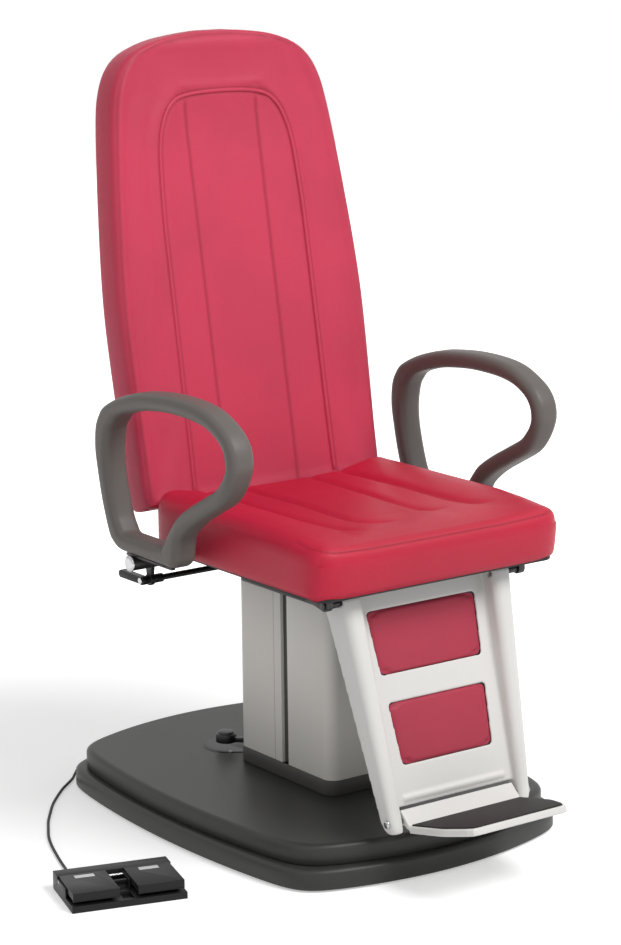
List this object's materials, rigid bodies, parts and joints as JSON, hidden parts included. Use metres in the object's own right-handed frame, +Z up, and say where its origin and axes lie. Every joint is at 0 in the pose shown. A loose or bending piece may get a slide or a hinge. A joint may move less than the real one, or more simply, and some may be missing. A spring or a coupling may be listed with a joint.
{
  "type": "ophthalmic examination chair",
  "caption": "Power lift examination chair with a reclining back, linked leg panel, folding footplate, lift-up loop arms, swivel base with brake pedal and a cabled foot switch.",
  "frame": {"origin": "where the swivel axis of the column meets the floor", "axes": "+Z up; the sitter faces -Y, so the leg panel and the footplate are on the -Y side; +X is the sitter's left"},
  "size_m": [0.922, 0.9736, 1.3075],
  "materials": {
    "base_paint": "satin moulded dark grey cover",
    "steel_plate": "grey painted plate",
    "foot_rubber": "black rubber foot",
    "zinc_screw": "zinc plated",
    "bronze": "sintered bronze bush",
    "black_plastic": "black moulded plastic",
    "black_steel": "black powder coated steel",
    "cable_rubber": "black cable sheath",
    "light_strip": "plain light grey strip",
    "skirt_plastic": "dark warm grey moulding",
    "column_paint": "light warm grey painted sheet",
    "tube_steel": "grey painted tube",
    "glide_plastic": "natural glide plastic",
    "machined_steel": "machined steel",
    "chrome": "bright chromed steel",
    "cast_alloy": "cast alloy body",
    "motor_paint": "blue grey painted motor",
    "back_leather": "rose red upholstery leather",
    "seat_leather": "deep red upholstery leather",
    "shell_plastic": "dark moulded rear shell",
    "panel_paint": "off-white moulded panel",
    "pad_leather": "red upholstered pad",
    "mat_rubber": "dark rubber mat",
    "arm_foam": "taupe grey integral foam"
  },
  "bodies": {
    "base": {"base_plate": "steel_plate", "base_feet": "foot_rubber", "lower_base_cover": "base_paint", "upper_base_cover": "base_paint", "cover_screws": "zinc_screw", "swivel_bush": "bronze", "brake_recess_plate": "black_plastic", "brake_bracket": "steel_plate", "brake_pin": "machined_steel", "mains_inlet": "black_plastic", "cable_gland": "black_plastic", "switch_housing": "black_plastic", "switch_hinge_pin": "machined_steel", "micro_switches": "black_plastic", "foot_switch_cable": "cable_rubber"},
    "column": {"turntable": "machined_steel", "column_skirt": "skirt_plastic", "front_column_cover": "column_paint", "rear_column_cover": "column_paint", "column_channels": "skirt_plastic", "column_top_cap": "skirt_plastic", "guide_tube": "tube_steel", "glide_pads": "glide_plastic", "lift_cylinder": "tube_steel", "pump_unit": "cast_alloy", "pump_motor": "motor_paint"},
    "seat": {"inner_tube": "column_paint", "lift_plunger": "chrome", "seat_frame": "black_steel", "seat_pan": "black_plastic", "seat_cushion": "seat_leather", "leg_hinge_pins": "black_steel", "arm_carriers": "black_steel", "arm_shaft_caps": "chrome", "gas_spring_cylinder": "black_steel"},
    "back": {"recline_shaft": "machined_steel", "back_frame": "black_steel", "back_shell": "shell_plastic", "back_cushion": "back_leather"},
    "link": {"recline_link": "zinc_screw"},
    "gas_rod": {"gas_spring_rod": "chrome"},
    "leg_panel": {"leg_back_plate": "black_steel", "leg_frame": "panel_paint", "leg_pads": "pad_leather", "footplate_screws": "chrome"},
    "foot_rest": {"footplate": "panel_paint", "footplate_mat": "mat_rubber"},
    "arm_right": {"right_arm": "arm_foam", "right_arm_bracket": "black_steel"},
    "arm_left": {"left_arm": "arm_foam", "left_arm_bracket": "black_steel"},
    "lever": {"lever_rod": "black_steel", "lever_handle": "black_plastic", "lever_screw": "chrome"},
    "brake": {"brake_pedal": "black_steel"},
    "pedal_up": {"up_pedal": "black_plastic", "up_pedal_strip": "light_strip"},
    "pedal_down": {"down_pedal": "black_plastic", "down_pedal_strip": "light_strip"}
  },
  "joints": [
    {"name": "swivel", "type": "hinge", "parent": "base", "child": "column", "pos_m": [0, 0, 0.06], "axis": [0, 0, 1], "range_deg": [-170, 170]},
    {"name": "lift", "type": "slide", "parent": "column", "child": "seat", "axis": [0, 0, 1], "range_m": [0, 0.2]},
    {"name": "recline", "type": "hinge", "parent": "seat", "child": "back", "pos_m": [0, 0.196, 0.442], "axis": [-1, 0, 0], "range_deg": [0, 65]},
    {"name": "leg_swing", "type": "hinge", "parent": "seat", "child": "leg_panel", "pos_m": [0, -0.282, 0.453], "axis": [-1, 0, 0], "range_deg": [0, 65]},
    {"name": "link_turn", "type": "hinge", "parent": "back", "child": "link", "pos_m": [0.107, 0.21857, 0.40658], "axis": [-1, 0, 0], "range_deg": [-65, 0]},
    {"name": "gas_rod_slide", "type": "slide", "parent": "seat", "child": "gas_rod", "axis": [0, -1, 0], "range_m": [0, 0.0324]},
    {"name": "footplate_fold", "type": "hinge", "parent": "leg_panel", "child": "foot_rest", "pos_m": [0, -0.366, 0.10697], "axis": [-1, 0, 0], "range_deg": [0, 90]},
    {"name": "right_arm_flip", "type": "hinge", "parent": "seat", "child": "arm_right", "pos_m": [-0.29, 0.081, 0.47], "axis": [-1, 0, 0], "range_deg": [0, 80]},
    {"name": "left_arm_flip", "type": "hinge", "parent": "seat", "child": "arm_left", "pos_m": [0.29, 0.081, 0.47], "axis": [-1, 0, 0], "range_deg": [0, 80]},
    {"name": "lever_turn", "type": "hinge", "parent": "seat", "child": "lever", "pos_m": [-0.15, 0.126, 0.424], "axis": [1, 0, 0], "range_deg": [0, 15], "stiffness_Nm_per_rad": 1.2, "springref_deg": -20.05},
    {"name": "brake_press", "type": "hinge", "parent": "base", "child": "brake", "pos_m": [0.0001, 0.1449, 0.04], "axis": [-0.7071, -0.7071, 0], "range_deg": [0, 6], "stiffness_Nm_per_rad": 20, "springref_deg": -11.46},
    {"name": "up_pedal_press", "type": "hinge", "parent": "base", "child": "pedal_up", "pos_m": [-0.56858, -0.07154, 0.022], "axis": [0.9588, -0.284, 0], "range_deg": [0, 3], "stiffness_Nm_per_rad": 6, "springref_deg": -5.73},
    {"name": "down_pedal_press", "type": "hinge", "parent": "base", "child": "pedal_down", "pos_m": [-0.56858, -0.07154, 0.022], "axis": [0.9588, -0.284, 0], "range_deg": [0, 3], "stiffness_Nm_per_rad": 6, "springref_deg": -5.73}
  ],
  "couplings": [
    {"joint": "leg_swing", "follows": "recline", "ratio": 1},
    {"joint": "link_turn", "follows": "recline", "ratio": -1},
    {"joint": "gas_rod_slide", "follows": "recline", "m_per_rad": 0.02842}
  ]
}
